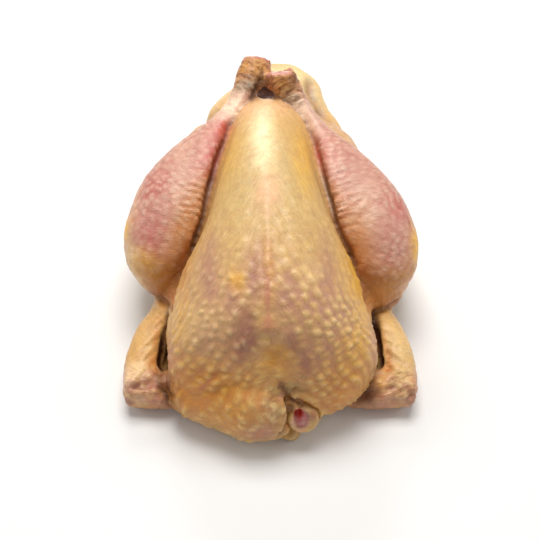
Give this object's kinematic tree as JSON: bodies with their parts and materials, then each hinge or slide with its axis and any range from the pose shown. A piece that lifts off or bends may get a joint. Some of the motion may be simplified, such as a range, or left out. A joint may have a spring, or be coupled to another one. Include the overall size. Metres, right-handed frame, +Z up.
{
  "type": "whole guinea fowl",
  "caption": "Whole raw guinea fowl, plucked and dressed, lying on its back with the breast up, hocks together over the rump and wings folded under the back",
  "frame": {"origin": "on the table, at the middle of the bird's overall width and length", "axes": "+Z up; +Y from the neck end to the tail, along the bird's length; +X to the picture's right, seen from the neck end with the breast up"},
  "size_m": [0.1626, 0.2638, 0.1046],
  "materials": {
    "raw_skin": "moist raw skin, satin"
  },
  "bodies": {
    "root": {"guinea_fowl": "raw_skin"}
  },
  "joints": []
}
